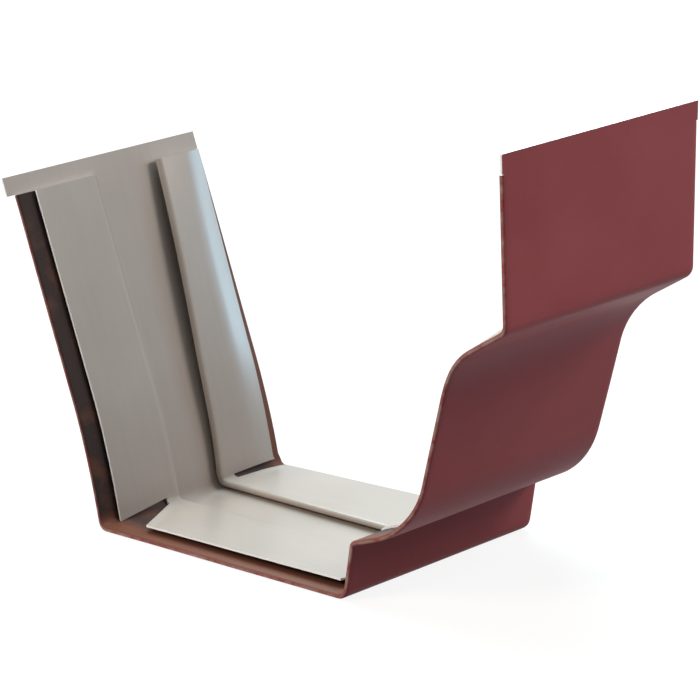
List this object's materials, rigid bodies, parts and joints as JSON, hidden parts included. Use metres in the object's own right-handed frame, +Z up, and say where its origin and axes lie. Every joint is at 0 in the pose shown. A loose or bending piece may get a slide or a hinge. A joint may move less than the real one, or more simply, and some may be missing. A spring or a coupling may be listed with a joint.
{
  "type": "gutter joint connector",
  "caption": "Folded sheet-metal slip connector with an ogee front that joins two lengths of K-style rain gutter in pockets along both ends.",
  "frame": {"origin": "middle of the bottom's underside, between the two hemmed ends and the two bottom corners", "axes": "+X along the gutter's run, +Y towards the back wall on the house side, +Z up out of the trough"},
  "size_m": [0.065, 0.1604, 0.1079],
  "materials": {
    "sheet": "red-brown satin paint outside, pale grey back coat inside"
  },
  "bodies": {
    "root": {"connector": "sheet"}
  },
  "joints": []
}
